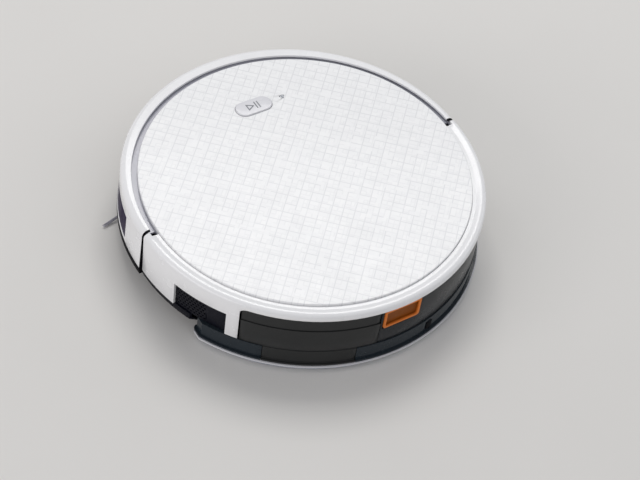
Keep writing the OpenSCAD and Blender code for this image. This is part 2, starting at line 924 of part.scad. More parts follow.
module caster_fork() {
    color("#2a2a2c") difference() {
        union() {
            rod(0, caster_y, 19, 28, 31.6);
            rod(0, caster_y, 4, 31, 47);
            for (x = [-10, 7.5]) block(x, x + 2.5, caster_axle_y - 5, caster_axle_y + 7, 9, 29);
        }
        bar(-20, 20, caster_axle_y, caster_r, 2 + run);
    }
}

module caster_axle() {
    color("silver") bar(-9.9, 9.9, caster_axle_y, caster_r, 2);
}

module caster_wheel() {
    color("whitesmoke") difference() {
        bar(-6.8, 6.8, caster_axle_y, caster_r, caster_r);
        bar(-10, 10, caster_axle_y, caster_r, 2 + run);
    }
}

base_tray();
upper_shell();
top_disc();
wifi_light();
bay_frame();
main_board();
battery_pack();
battery_door();
base_screws();
fan_housing();
exhaust_grilles();
charge_contacts();
cliff_sensors();
charge_socket();
switch_housing();
bumper_switches();
brush_housing();
brush_drive();
brush_bearing();
brush_guard();
side_brush_motors();
caster_socket();
wheel_housings();
suspension_springs();
bumper_shell();
bumper_window();
bumper_strip();
bumper_springs();
start_button();
button_spring();
power_rocker();
bin_body();
bin_lid();
bin_face();
bin_window();
filter_frame();
hepa_filter();
release_button();
release_spring();
water_tank();
tank_pump();
tank_plug();
mop_plate();
mop_cloth();
brush_core();
brush_bristles();
side_brush_left();
side_brush_right();
side_bristles_left();
side_bristles_right();
wheel_arm_left();
wheel_arm_right();
wheel_hub_left();
wheel_hub_right();
tyre_left();
tyre_right();
caster_fork();
caster_axle();
caster_wheel();
fan_impeller();
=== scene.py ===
"""Looks of a round robot vacuum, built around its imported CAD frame.

Metres, in the CAD frame: +Y forward (bumper), -Y the dust bin, +X right, +Z up, floor at z = 0.
"""

import json
import math
import random

import bmesh
import bpy
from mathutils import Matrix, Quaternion, Vector

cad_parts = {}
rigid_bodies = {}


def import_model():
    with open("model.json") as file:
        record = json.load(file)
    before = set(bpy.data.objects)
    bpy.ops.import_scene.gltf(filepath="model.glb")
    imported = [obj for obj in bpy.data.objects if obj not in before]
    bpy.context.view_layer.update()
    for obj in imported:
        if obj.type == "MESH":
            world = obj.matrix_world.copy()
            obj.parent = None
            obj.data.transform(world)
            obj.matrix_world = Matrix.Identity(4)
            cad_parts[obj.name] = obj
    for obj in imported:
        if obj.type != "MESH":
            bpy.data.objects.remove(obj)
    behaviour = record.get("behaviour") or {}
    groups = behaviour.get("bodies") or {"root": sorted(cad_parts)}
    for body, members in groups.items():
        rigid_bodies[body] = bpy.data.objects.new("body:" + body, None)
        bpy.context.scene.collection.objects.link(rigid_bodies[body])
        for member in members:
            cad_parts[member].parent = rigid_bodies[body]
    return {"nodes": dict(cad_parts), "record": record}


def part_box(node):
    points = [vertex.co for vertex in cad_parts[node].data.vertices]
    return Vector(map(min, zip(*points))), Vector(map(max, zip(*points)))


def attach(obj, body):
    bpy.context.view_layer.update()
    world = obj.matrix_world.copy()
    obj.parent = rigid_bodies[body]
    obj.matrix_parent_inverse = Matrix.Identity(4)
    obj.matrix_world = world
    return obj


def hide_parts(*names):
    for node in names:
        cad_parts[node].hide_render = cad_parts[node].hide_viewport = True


MM = 0.001

for leftover in list(bpy.data.objects):
    bpy.data.objects.remove(leftover)

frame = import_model()
bpy.context.view_layer.update()
nodes = frame["nodes"]


# ---------------------------------------------------------------- camera, light and floor

CAMERA_AZIMUTH = -38.3
CAMERA_ELEVATION = 48.29
CAMERA_ROLL = 9.04
CAMERA_DISTANCE = 1.5
CAMERA_TARGET = Vector((-0.00976, -0.0469, 0.037))
CAMERA_LENS = 93.41


# name: azimuth and elevation in degrees, distance and size in metres, watts, colour
LIGHTS = {
    "key_light": (150, 58, 2.8, (1.6, 1.2), 29, (1.0, 0.99, 0.97)),
    "fill_light": (-84, 22, 2.8, (2.2, 1.4), 21, (1.0, 0.965, 0.965)),
    "side_light": (75, 24, 3.0, (2.0, 1.2), 7, (0.96, 0.97, 1.0)),
}
SKY_COLOUR = (0.90, 0.915, 0.95, 1)
SKY_STRENGTH = 0.505

FLOOR_RADIUS = 14.0
FLOOR_SIDES = 96


def bearing(azimuth, elevation):
    """Unit vector from the part towards a viewer; azimuth 0 is behind it, at -Y."""
    az, el = math.radians(azimuth), math.radians(elevation)
    return Vector((math.sin(az) * math.cos(el), -math.cos(az) * math.cos(el), math.sin(el)))


def add_camera():
    back = bearing(CAMERA_AZIMUTH, CAMERA_ELEVATION)
    turn = back.to_track_quat("Z", "Y") @ Quaternion((0, 0, 1), math.radians(CAMERA_ROLL))
    data = bpy.data.cameras.new("camera")
    data.lens = CAMERA_LENS
    data.sensor_width = 36
    data.clip_start = 0.05
    data.clip_end = 60
    camera = bpy.data.objects.new("camera", data)
    camera.rotation_mode = "QUATERNION"
    camera.rotation_quaternion = turn
    camera.location = CAMERA_TARGET + back * CAMERA_DISTANCE
    bpy.context.scene.collection.objects.link(camera)
    bpy.context.scene.camera = camera


def add_area_light(name, azimuth, elevation, distance, size, watts, colour):
    back = bearing(azimuth, elevation)
    data = bpy.data.lights.new(name, "AREA")
    data.shape = "RECTANGLE"
    data.size, data.size_y = size
    data.energy = watts
    data.color = colour
    light = bpy.data.objects.new(name, data)
    light.location = back * distance
    light.rotation_mode = "QUATERNION"
    light.rotation_quaternion = back.to_track_quat("Z", "Y")
    bpy.context.scene.collection.objects.link(light)


def add_lights():
    for name, settings in LIGHTS.items():
        add_area_light(name, *settings)
    world = bpy.data.worlds.new("studio")
    world.use_nodes = True
    background = world.node_tree.nodes["Background"]
    background.inputs["Color"].default_value = SKY_COLOUR
    background.inputs["Strength"].default_value = SKY_STRENGTH
    bpy.context.scene.world = world
    bpy.context.scene.view_settings.view_transform = "Standard"
    bpy.context.scene.view_settings.look = "None"


# ---------------------------------------------------------------- material tools

# sockets that a mix node uses for colours
MIX_A, MIX_B, MIX_RESULT = 6, 7, 2


class Paint:
    """A material's node tree, with short calls for the nodes that the finishes share."""

    def __init__(self, name):
        self.material = bpy.data.materials.new(name)
        self.material.use_nodes = True
        self.tree = self.material.node_tree
        self.shader = self.tree.nodes["Principled BSDF"]
        self.place = self.node("ShaderNodeTexCoord").outputs["Object"]
        self.colour = None
        self.height = None

    def node(self, kind, **settings):
        made = self.tree.nodes.new(kind)
        for key, value in settings.items():
            setattr(made, key, value)
        return made

    def link(self, out, into):
        self.tree.links.new(out, into)

    def put(self, value, socket):
        if isinstance(value, bpy.types.NodeSocket):
            self.link(value, socket)
        else:
            socket.default_value = value

    def math(self, kind, a, b=0.0):
        made = self.node("ShaderNodeMath", operation=kind)
        for value, socket in zip((a, b), made.inputs):
            self.put(value, socket)
        return made.outputs[0]

    def noise(self, scale, detail, rough=0.5, place=None):
        made = self.node("ShaderNodeTexNoise")
        self.link(place or self.place, made.inputs["Vector"])
        made.inputs["Scale"].default_value = scale
        made.inputs["Detail"].default_value = detail
        made.inputs["Roughness"].default_value = rough
        return made.outputs["Fac"]

    def cells(self, scale, place=None):
        made = self.node("ShaderNodeTexVoronoi")
        self.link(place or self.place, made.inputs["Vector"])
        made.inputs["Scale"].default_value = scale
        return made.outputs["Distance"]

    def span(self, value, low, high, to_low=0.0, to_high=1.0):
        """Maps low..high to to_low..to_high, and holds it there beyond."""
        made = self.node("ShaderNodeMapRange", clamp=True)
        self.link(value, made.inputs["Value"])
        for key, number in (("From Min", low), ("From Max", high), ("To Min", to_low), ("To Max", to_high)):
            made.inputs[key].default_value = number
        return made.outputs["Result"]

    def mix(self, share, a, b):
        """Colour a where share is 0, colour b where it is 1."""
        made = self.node("ShaderNodeMix", data_type="RGBA")
        self.put(share, made.inputs["Factor"])
        for value, socket in ((a, made.inputs[MIX_A]), (b, made.inputs[MIX_B])):
            self.put(value if isinstance(value, bpy.types.NodeSocket) else (*value, 1.0), socket)
        return made.outputs[MIX_RESULT]

    def axes(self, place=None):
        """The X, Y and Z of a point, as three outputs."""
        made = self.node("ShaderNodeSeparateXYZ")
        self.link(place or self.place, made.inputs[0])
        return made.outputs

    def stretched(self, x, y, z):
        made = self.node("ShaderNodeMapping")
        self.link(self.place, made.inputs["Vector"])
        made.inputs["Scale"].default_value = (x, y, z)
        return made.outputs["Vector"]

    def bump(self, value, depth, strength=1.0):
        """Adds a bump whose full height is depth, in metres."""
        made = self.node("ShaderNodeBump")
        made.inputs["Strength"].default_value = strength
        made.inputs["Distance"].default_value = depth
        self.link(value, made.inputs["Height"])
        if self.height is not None:
            self.link(self.height, made.inputs["Normal"])
        self.height = made.outputs["Normal"]
        self.link(self.height, self.shader.inputs["Normal"])

    def set(self, **values):
        for key, value in values.items():
            self.put(value, self.shader.inputs[key.replace("_", " ")])


def mottled(paint, colour, spread, scale):
    """The colour with a slow unevenness, spread either side of it."""
    low = tuple(c * (1 - spread) for c in colour)
    high = tuple(min(1.0, c * (1 + spread)) for c in colour)
    return paint.mix(paint.span(paint.noise(scale, 4), 0.3, 0.7), low, high)


def smooth_plastic(
    name, colour, rough, coat=0.0, ripple=0.02 * MM, spread=0.02, patches=22, shine=0.5
):
    """Gloss or satin moulding: faint flow ripple and uneven gloss from handling."""
    paint = Paint(name)
    paint.colour = mottled(paint, colour, spread, patches)
    paint.set(Base_Color=paint.colour, Specular_IOR_Level=shine)
    smear = paint.span(paint.noise(60, 5, 0.6), 0.35, 0.7, rough * 0.8, rough * 1.3)
    paint.set(Roughness=smear, Coat_Weight=coat, Coat_Roughness=0.08)
    paint.bump(paint.noise(420, 2), ripple, 0.6)
    return paint


def grained_plastic(name, colour, rough, grain=1500, depth=0.06 * MM, shine=0.3):
    """Spark-eroded moulding: a fine pebble grain with slightly polished peaks."""
    paint = Paint(name)
    pebble = paint.cells(grain)
    worn = paint.span(paint.noise(35, 5, 0.65), 0.55, 0.75)
    base = mottled(paint, colour, 0.08, 30)
    polished = tuple(1.35 * c + 0.01 for c in colour)
    gloss = paint.span(pebble, 0.1, 0.7, rough * 1.12, rough * 0.85)
    paint.set(Base_Color=paint.mix(paint.math("MULTIPLY", worn, 0.35), base, polished))
    paint.set(Roughness=gloss, Specular_IOR_Level=shine)
    paint.bump(paint.noise(grain * 0.4, 2), depth * 0.5, 0.5)
    paint.bump(pebble, depth, 0.7)
    return paint


# ---------------------------------------------------------------- materials

PANEL_PITCH = 10.3 * MM
PANEL_TURN = 43.8
# a printed line is solid to its core and gone at its edge, as shares of the pitch
LINE_CORE, LINE_EDGE = 0.03, 0.065
# sets of lines: shift as a share of the pitch, strength, share of the lines left out
PANEL_LINES = (
    (0.0, 0.95, 0.0),
    (0.5, 0.4, 0.35),
    (0.17, 0.45, 0.45),
)
GAP_FADE = 0.25

# painted shade on the deck around the top panel, where it shows in the groove: within this radius and below
# this height
GROOVE_SHADE_RADIUS = 161 * MM
GROOVE_SHADE_TOP = 71.2 * MM
# where the orange button's recess starts and ends, along Y; painted shade darkens the orange across this
# span
RECESS_RIM = -163.2 * MM
RECESS_FLOOR = -161.8 * MM


def panel_lines(paint, grid, seed, gaps):
    """Broken woven grid: for one direction of lines, how strongly a line shows at each point."""
    x, y, _ = paint.axes(grid)
    nearest = paint.math("ROUND", x)
    away = paint.math("ABSOLUTE", paint.math("SUBTRACT", x, nearest))
    line = paint.span(away, LINE_CORE, LINE_EDGE, 1, 0)
    half = paint.math("FLOOR", paint.math("MULTIPLY", y, 2.0))
    where = paint.node("ShaderNodeCombineXYZ")
    paint.link(nearest, where.inputs[0])
    paint.link(half, where.inputs[1])
    where.inputs[2].default_value = seed
    chance = paint.node("ShaderNodeTexWhiteNoise", noise_dimensions="3D")
    paint.link(where.outputs[0], chance.inputs["Vector"])
    shows = paint.span(chance.outputs["Value"], gaps, gaps + GAP_FADE)
    return paint.math("MULTIPLY", line, shows)


def panel_grid(paint, pitch, turn, shift=0.0):
    """Plan coordinates turned by an angle and counted in pitches."""
    mapping = paint.node("ShaderNodeMapping")
    paint.link(paint.place, mapping.inputs["Vector"])
    mapping.inputs["Rotation"].default_value = (0, 0, math.radians(turn))
    mapping.inputs["Scale"].default_value = (1 / pitch, 1 / pitch, 1 / pitch)
    mapping.inputs["Location"].default_value = (shift, 0, 0)
    return mapping.outputs["Vector"]


def top_panel():
    """White panel with a printed, slightly embossed pattern like a loose square weave."""
    paint = Paint("top_panel")
    lines = None
    seed = 0
    for shift, strength, gaps in PANEL_LINES:
        for turn in (PANEL_TURN, PANEL_TURN + 90):
            seed += 1
            one = panel_lines(paint, panel_grid(paint, PANEL_PITCH, turn, shift), seed, gaps)
            one = paint.math("MULTIPLY", one, strength)
            lines = one if lines is None else paint.math("MAXIMUM", lines, one)
    cell = paint.node("ShaderNodeVectorMath", operation="FLOOR")
    paint.link(panel_grid(paint, PANEL_PITCH / 2, PANEL_TURN), cell.inputs[0])
    tone = paint.node("ShaderNodeTexWhiteNoise", noise_dimensions="2D")
    paint.link(cell.outputs[0], tone.inputs["Vector"])
    base = paint.mix(tone.outputs["Value"], (0.865, 0.868, 0.875), (0.90, 0.902, 0.905))
    paint.set(Base_Color=paint.mix(paint.math("MULTIPLY", lines, 0.8), base, (0.70, 0.705, 0.72)))
    smear = paint.span(paint.noise(40, 5, 0.6), 0.35, 0.7, 0.3, 0.42)
    paint.set(Roughness=smear, Coat_Weight=0.25, Coat_Roughness=0.12)
    paint.bump(paint.math("SUBTRACT", tone.outputs["Value"], lines), 0.04 * MM, 0.35)
    return paint


def sensor_window():
    """Infrared window: deep violet black, satin."""
    return smooth_plastic("ir_window", (0.022, 0.014, 0.045), 0.35, ripple=0.01 * MM, shine=0.02)


def see_through(name, colour, rough, share):
    """Smoked clear plastic, with part of the light passing through."""
    paint = smooth_plastic(name, colour, rough, shine=0.3)
    paint.set(Transmission_Weight=share, IOR=1.46)
    return paint


def shell_white():
    """Gloss white, with painted shade greying the deck where it shows in the groove around the top panel.
    """
    paint = smooth_plastic("white_shell", (0.86, 0.86, 0.87), 0.24, 0.35, 0.01 * MM, 0.012)
    x, y, z = paint.axes()
    square = paint.math("ADD", paint.math("MULTIPLY", x, x), paint.math("MULTIPLY", y, y))
    in_shade_ring = paint.math("LESS_THAN", paint.math("SQRT", square), GROOVE_SHADE_RADIUS)
    low = paint.math("MULTIPLY", in_shade_ring, paint.math("LESS_THAN", z, GROOVE_SHADE_TOP))
    # painted shade: the deck down in the groove is mixed to a lavender grey
    paint.set(Base_Color=paint.mix(low, paint.colour, (0.50, 0.50, 0.56)))
    return paint


def release_orange():
    """Satin orange moulding, with painted shade darkening it down in its finger recess."""
    orange, deep = (0.72, 0.20, 0.034), (0.24, 0.066, 0.006)
    paint = smooth_plastic("orange_plastic", orange, 0.4, spread=0.03, patches=60, shine=0.15)
    _, y, _ = paint.axes()
    # painted shade: a darker orange ramps in from the recess's rim to its floor
    paint.set(Base_Color=paint.mix(paint.span(y, RECESS_RIM, RECESS_FLOOR), paint.colour, deep))
    return paint


def tyre():
    """Soft rubber with moulding marks and grey dust in its low places."""
    paint = Paint("tyre_rubber")
    dusty = paint.span(paint.noise(160, 6, 0.7), 0.45, 0.75)
    paint.set(Base_Color=paint.mix(dusty, (0.022, 0.022, 0.023), (0.075, 0.072, 0.068)))
    paint.set(Roughness=paint.span(dusty, 0, 1, 0.62, 0.85))
    paint.bump(paint.noise(2400, 3), 0.07 * MM, 0.7)
    return paint


def steel():
    """Bright drawn steel with fine turning lines."""
    paint = Paint("steel")
    paint.set(Metallic=1.0, Base_Color=mottled(paint, (0.6, 0.6, 0.61), 0.07, 90))
    drawn = paint.noise(300, 4, place=paint.stretched(0.15, 1, 7))
    paint.set(Roughness=paint.span(drawn, 0.3, 0.7, 0.22, 0.38))
    paint.bump(drawn, 0.02 * MM, 0.5)
    return paint


def nylon(name, colour, worn):
    """Brush nylon in an uneven mix of its colour and a paler worn one."""
    paint = Paint(name)
    paint.set(Base_Color=paint.mix(paint.noise(260, 2), colour, worn))
    paint.set(Roughness=0.38, Sheen_Weight=0.15)
    paint.bump(paint.noise(6000, 1), 0.02 * MM, 0.4)
    return paint


def microfibre():
    """Looped microfibre: short coarse loops in two blues with greyer patches, and a sheen."""
    paint = Paint("mop_fabric")
    loops = paint.cells(900, place=paint.stretched(1, 0.6, 1))
    pile = paint.noise(3200, 2)
    base = paint.mix(paint.span(loops, 0.05, 0.6), (0.34, 0.40, 0.49), (0.16, 0.20, 0.28))
    greyer = paint.span(paint.noise(45, 4), 0.35, 0.7, 0, 0.35)
    paint.set(Base_Color=paint.mix(greyer, base, (0.42, 0.44, 0.46)))
    paint.set(Roughness=0.92, Sheen_Weight=0.5, Sheen_Roughness=0.5)
    paint.bump(pile, 0.25 * MM, 0.8)
    paint.bump(loops, 0.6 * MM, 0.9)
    return paint


def filter_paper():
    """Creased fibre paper."""
    paint = Paint("filter_paper")
    fibres = paint.span(paint.noise(700, 5, 0.7), 0.4, 0.7)
    paint.set(Base_Color=paint.mix(fibres, (0.86, 0.85, 0.80), (0.72, 0.70, 0.64)), Roughness=0.9)
    paint.bump(paint.noise(2600, 4), 0.08 * MM, 0.8)
    return paint


def circuit_board():
    """Green solder mask with darker and lighter copper tracks under it."""
    paint = Paint("board_green")
    tracks = paint.node("ShaderNodeTexBrick")
    paint.link(paint.place, tracks.inputs["Vector"])
    tracks.inputs["Scale"].default_value = 260
    tracks.inputs["Mortar Size"].default_value = 0.06
    tracks.inputs["Color1"].default_value = (0.020, 0.115, 0.050, 1)
    tracks.inputs["Color2"].default_value = (0.026, 0.150, 0.062, 1)
    tracks.inputs["Mortar"].default_value = (0.060, 0.240, 0.110, 1)
    paint.set(Base_Color=tracks.outputs["Color"], Roughness=0.32)
    paint.bump(tracks.outputs["Fac"], 0.03 * MM, 0.5)
    return paint


def make_materials():
    """Every finish by name. A CAD node takes the one named after its material slot."""
    made = {
        "white_shell": shell_white(),
        "top_panel": top_panel(),
        "silver_plastic": smooth_plastic("silver_plastic", (0.70, 0.70, 0.73), 0.3, 0.3, 0.01 * MM),
        "light_pipe": smooth_plastic("light_pipe", (0.80, 0.83, 0.88), 0.25, 0.2),
        "black_plastic": grained_plastic("black_plastic", (0.0035, 0.0038, 0.0085), 0.5, shine=0.16),
        "dark_grey_plastic": grained_plastic("dark_grey_plastic", (0.045, 0.046, 0.050), 0.5),
        "ir_window": sensor_window(),
        "smoked_plastic": see_through("smoked_plastic", (0.014, 0.016, 0.019), 0.28, 0.08),
        "bin_cover": grained_plastic("bin_cover", (0.019, 0.0197, 0.0198), 0.34, 2600, 0.03 * MM),
        "tank_plastic": see_through("tank_plastic", (0.020, 0.028, 0.036), 0.24, 0.12),
        "orange_plastic": release_orange(),
        "light_grey_plastic": smooth_plastic("light_grey_plastic", (0.64, 0.64, 0.67), 0.42),
        "rubber_black": grained_plastic("rubber_black", (0.004, 0.004, 0.006), 0.7, 2200, shine=0.1),
        "tyre_rubber": tyre(),
        "steel": steel(),
        "bristle_grey": nylon("bristle_grey", (0.30, 0.29, 0.34), (0.44, 0.43, 0.48)),
        "bristle_dark": nylon("bristle_dark", (0.030, 0.034, 0.042), (0.075, 0.08, 0.09)),
        "brush_orange": smooth_plastic("brush_orange", (0.70, 0.26, 0.05), 0.45),
        "mop_fabric": microfibre(),
        "filter_paper": filter_paper(),
        "board_green": circuit_board(),
        "battery_wrap": smooth_plastic("battery_wrap", (0.030, 0.105, 0.36), 0.25, 0.2),
        "icon_print": smooth_plastic("icon_print", (0.16, 0.17, 0.19), 0.4),
    }
    return {name: paint.material for name, paint in made.items()}


def add_floor():
    """A wide plain pale floor, barely uneven so that it doesn't look flat."""
    paint = Paint("floor_paper")
    paint.set(Base_Color=mottled(paint, (0.74, 0.725, 0.70), 0.015, 3), Roughness=0.75)
    paint.bump(paint.noise(900, 3), 0.1 * MM, 0.3)
    mesh = bpy.data.meshes.new("floor")
    shape = bmesh.new()
    rim = raised(circle(FLOOR_RADIUS, FLOOR_SIDES), 0)
    shape.faces.new([shape.verts.new(point) for point in rim])
    shape.to_mesh(mesh)
    shape.free()
    mesh.materials.append(paint.material)
    floor = bpy.data.objects.new("floor", mesh)
    bpy.context.scene.collection.objects.link(floor)


# ---------------------------------------------------------------- mesh tools

MITRE_LIMIT = 0.35
ACROSS = Vector((1, 0))


def circle(radius, sides):
    """Plan points round a circle at the origin."""
    angles = [math.tau * k / sides for k in range(sides)]
    return [Vector((radius * math.cos(angle), radius * math.sin(angle))) for angle in angles]


def arc(centre, radius, start, end, steps):
    """Plan points along an arc, from one angle to another in degrees."""
    angles = [math.radians(start + (end - start) * i / steps) for i in range(steps + 1)]
    return [centre + radius * Vector((math.cos(angle), math.sin(angle))) for angle in angles]


def pill(centre, length, width, inset):
    """Plan points of a pill outline, moved in by inset."""
    radius = width / 2 - inset
    reach = ACROSS * (length - width) / 2
    return arc(centre + reach, radius, -90, 90, 20) + arc(centre - reach, radius, 90, 270, 20)


def raised(points, z):
    """Plan points lifted to a height."""
    return [Vector((point.x, point.y, z)) for point in points]


def new_piece(name, shape, material, body, smooth=True):
    """Turns a bmesh into a piece that rides on a body."""
    mesh = bpy.data.meshes.new(name)
    bmesh.ops.recalc_face_normals(shape, faces=shape.faces)
    shape.to_mesh(mesh)
    shape.free()
    mesh.materials.append(material)
    for face in mesh.polygons:
        face.use_smooth = smooth
    piece = bpy.data.objects.new(name, mesh)
    bpy.context.scene.collection.objects.link(piece)
    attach(piece, body)
    return piece


def loft(shape, rings):
    """Skins closed rings of equal length one after another, and closes both ends."""
    made = [[shape.verts.new(point) for point in ring] for ring in rings]
    count = len(made[0])
    for low, high in zip(made, made[1:]):
        for i in range(count):
            k = (i + 1) % count
            shape.faces.new((low[i], low[k], high[k], high[i]))
    shape.faces.new(list(reversed(made[0])))
    shape.faces.new(made[-1])


def tube(shape, points, radii, sides):
    """A tube through points, each with its own radius, closed at both ends."""
    rings = []
    side = (points[1] - points[0]).normalized().orthogonal().normalized()
    for i, point in enumerate(points):
        ahead = (points[min(i + 1, len(points) - 1)] - points[max(i - 1, 0)]).normalized()
        side = (side - ahead * side.dot(ahead)).normalized()
        up = ahead.cross(side)
        rings.append([point + side * spoke.x + up * spoke.y for spoke in circle(radii[i], sides)])
    loft(shape, rings)


def stroke(shape, points, width, z0, z1, closed=False):
    """A flat bar of constant width through plan points, from height z0 to z1."""
    count = len(points)
    left, right = [], []
    for i, point in enumerate(points):
        if closed:
            before, after = points[i - 1], points[(i + 1) % count]
        else:
            before, after = points[max(i - 1, 0)], points[min(i + 1, count - 1)]
        into = (point - before).normalized() if (point - before).length else (after - point).normalized()
        out = (after - point).normalized() if (after - point).length else into
        normal = Vector((-(into + out).y, (into + out).x)).normalized()
        stretch = 1 / max(MITRE_LIMIT, normal.dot(Vector((-out.y, out.x))))
        left.append(point + normal * width / 2 * stretch)
        right.append(point - normal * width / 2 * stretch)
    edges = [raised(left, z0), raised(right, z0), raised(right, z1), raised(left, z1)]
    corners = [[shape.verts.new(edge[i]) for edge in edges] for i in range(count)]
    for i in range(count if closed else count - 1):
        here, there = corners[i], corners[(i + 1) % count]
        for side in range(4):
            after = (side + 1) % 4
            shape.faces.new((here[side], here[after], there[after], there[side]))
    if not closed:
        shape.faces.new(corners[0])
        shape.faces.new(list(reversed(corners[-1])))


# ---------------------------------------------------------------- pieces


# the start button's cap: inset from its edge and height over its top, in millimetres
CAP_PROFILE = (
    (0.9, -4.8),
    (0.15, -4.8),
    (0.0, -4.6),
    (0.0, -0.85),
    (0.08, -0.55),
    (0.3, -0.3),
    (0.7, -0.14),
    (1.3, -0.08),
    (3.0, -0.02),
    (5.5, 0.05),
    (8.0, 0.08),
)
CAP_LIFT = 0.4 * MM
STEM_RADIUS = 2.8 * MM
STEM_TOP = -4.3 * MM

# the start-and-pause sign on the cap, in millimetres from the cap's centre
PLAY_CORNERS = ((-6.6, 3.3), (-6.6, -3.3), (-0.6, 0.0))
PLAY_STROKE = 1.05 * MM
PAUSE_PLACES = (2.0, 4.9)
PAUSE_REACH = 4.3
PAUSE_STROKE = 1.1 * MM
SIGN_BOTTOM, SIGN_TOP = -0.05 * MM, 0.13 * MM

# the wireless sign, whose dot stands behind the middle of the light
DOT_BACK = 1.9 * MM
DOT_RADIUS = 0.75 * MM
WAVE_RADII = (1.9 * MM, 3.5 * MM)
WAVE_STROKE = 0.85 * MM


def start_button_cap(paints):
    """Domed pill-shaped cap with a softly rounded rim, on its stem."""
    low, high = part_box("start_button")
    centre = ((low + high) / 2).xy
    length, width = high.x - low.x, high.y - low.y
    top = high.z + CAP_LIFT
    shape = bmesh.new()
    rings = [raised(pill(centre, length, width, inset * MM), top + z * MM) for inset, z in CAP_PROFILE]
    loft(shape, rings)
    stem = [Vector((*centre, z)) for z in (low.z, top + STEM_TOP)]
    tube(shape, stem, [STEM_RADIUS, STEM_RADIUS], 24)
    cap = new_piece("start_button_cap", shape, paints["silver_plastic"], "start_key")
    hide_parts("start_button")
    play_pause_icon(paints, centre, top)


def play_pause_icon(paints, centre, top):
    """Generic start-and-pause sign, raised on the cap."""
    z0, z1 = top + SIGN_BOTTOM, top + SIGN_TOP
    icon = bmesh.new()
    triangle = [centre + Vector(corner) * MM for corner in PLAY_CORNERS]
    stroke(icon, triangle, PLAY_STROKE, z0, z1, closed=True)
    for x in PAUSE_PLACES:
        ends = [centre + Vector((x, y)) * MM for y in (-PAUSE_REACH, PAUSE_REACH)]
        stroke(icon, ends, PAUSE_STROKE, z0, z1)
    new_piece("play_pause_icon", icon, paints["icon_print"], "start_key", smooth=False)


def wireless_icon(paints):
    """Generic wireless sign: a dot and two arcs over the light in the panel."""
    low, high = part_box("wifi_light")
    z0, z1 = high.z - 0.12 * MM, high.z + 0.06 * MM
    base = ((low + high) / 2).xy - Vector((0, DOT_BACK))
    shape = bmesh.new()
    for radius in WAVE_RADII:
        stroke(shape, arc(base, radius, 138, 42, 12), WAVE_STROKE, z0, z1)
    dot = [base + spoke for spoke in circle(DOT_RADIUS, 16)]
    loft(shape, [raised(dot, z0), raised(dot, z1)])
    new_piece("wireless_icon", shape, paints["icon_print"], "chassis", smooth=False)


# the side brushes' tufts
TUFTS = 3
TUFT_HEADING = -11.5
HAIRS_IN_TUFT = 46
HAIR_STEPS = 4
HAIR_RADIUS = 0.17 * MM
ROOT_AT, TIP_AT = 14.6 * MM, 59.5 * MM
ROOT_HEIGHT, TIP_HEIGHT = 6.2 * MM, 1.6 * MM


def side_tufts(paints, side):
    """Three fanned tufts of long nylon hairs, each a little bent, in clamped roots."""
    name = "right" if side > 0 else "left"
    rng = random.Random(7 if side > 0 else 11)
    low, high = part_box("side_brush_" + name)
    hub = ((low + high) / 2).xy.to_3d()
    along = [i / HAIR_STEPS for i in range(HAIR_STEPS + 1)]
    radii = [HAIR_RADIUS * (1 - 0.45 * t) for t in along]
    shape = bmesh.new()
    for tuft in range(TUFTS):
        heading = math.radians(360 / TUFTS * tuft + TUFT_HEADING)
        out = Vector((side * math.cos(heading), math.sin(heading), 0))
        across = Vector((-out.y, out.x, 0))
        for _ in range(HAIRS_IN_TUFT):
            offset = rng.uniform(-1, 1)
            fan = (offset * 0.25 + rng.gauss(0, 0.2)) * MM
            start = hub + out * ROOT_AT + across * offset * MM
            start.z = ROOT_HEIGHT + rng.uniform(-0.9, 0.9) * MM
            length = (TIP_AT - ROOT_AT) * rng.uniform(0.93, 1.0)
            end_z = TIP_HEIGHT + rng.uniform(-0.5, 0.9) * MM
            bend = rng.gauss(0, 0.2) * MM
            points = []
            for t in along:
                point = start + out * length * t + across * (fan * t + bend * math.sin(math.pi * t))
                point.z = start.z + (end_z - start.z) * t**1.3
                points.append(point)
            tube(shape, points, radii, 4)
    piece = new_piece(
        "side_tufts_" + name, shape, paints["bristle_grey"], "side_sweeper_" + name
    )
    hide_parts("side_bristles_" + name)


# the main brush: where each stretch starts and ends along X in millimetres, and its twist in degrees
BRUSH_STRETCHES = ((-77, -29, 50), (-25, 25, -50), (29, 77, 50))
BRUSH_ROWS = 6
HAIRS_IN_ROW_TUFT = 7
ROW_TUFT_PITCH = 2.4
CORE_RADIUS = 8.6 * MM
BRISTLE_RADII = (0.2 * MM, 0.18 * MM, 0.12 * MM)


def brush_rows(paints):
    """The main brush's curved rows, as tufts of nylon hairs standing out of the core."""
    rng = random.Random(3)
    low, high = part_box("brush_bristles")
    axis_y, axis_z = (low.y + high.y) / 2, (low.z + high.z) / 2
    outer = (high.z - low.z) / 2
    shape = bmesh.new()
    for x0, x1, twist in BRUSH_STRETCHES:
        tufts = round((x1 - x0) / ROW_TUFT_PITCH)
        for row in range(BRUSH_ROWS):
            for k in range(tufts):
                share = (k + 0.5) / tufts
                x = (x0 + (x1 - x0) * share) * MM
                heading = math.radians(360 / BRUSH_ROWS * row + twist * share)
                for _ in range(HAIRS_IN_ROW_TUFT):
                    angle = heading + rng.uniform(-0.05, 0.05)
                    lean = rng.gauss(0, 0.035)
                    spread = rng.uniform(-0.9, 0.9) * MM
                    tip = outer * rng.uniform(0.94, 0.995)
                    points = []
                    for t in (0, 0.5, 1):
                        radius = CORE_RADIUS + (tip - CORE_RADIUS) * t
                        y = axis_y - radius * math.sin(angle + lean * t)
                        z = axis_z + radius * math.cos(angle + lean * t)
                        points.append(Vector((x + spread * (0.7 + 0.6 * t), y, z)))
                    tube(shape, points, BRISTLE_RADII, 3)
    piece = new_piece("brush_rows", shape, paints["bristle_dark"], "main_brush")
    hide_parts("brush_bristles")


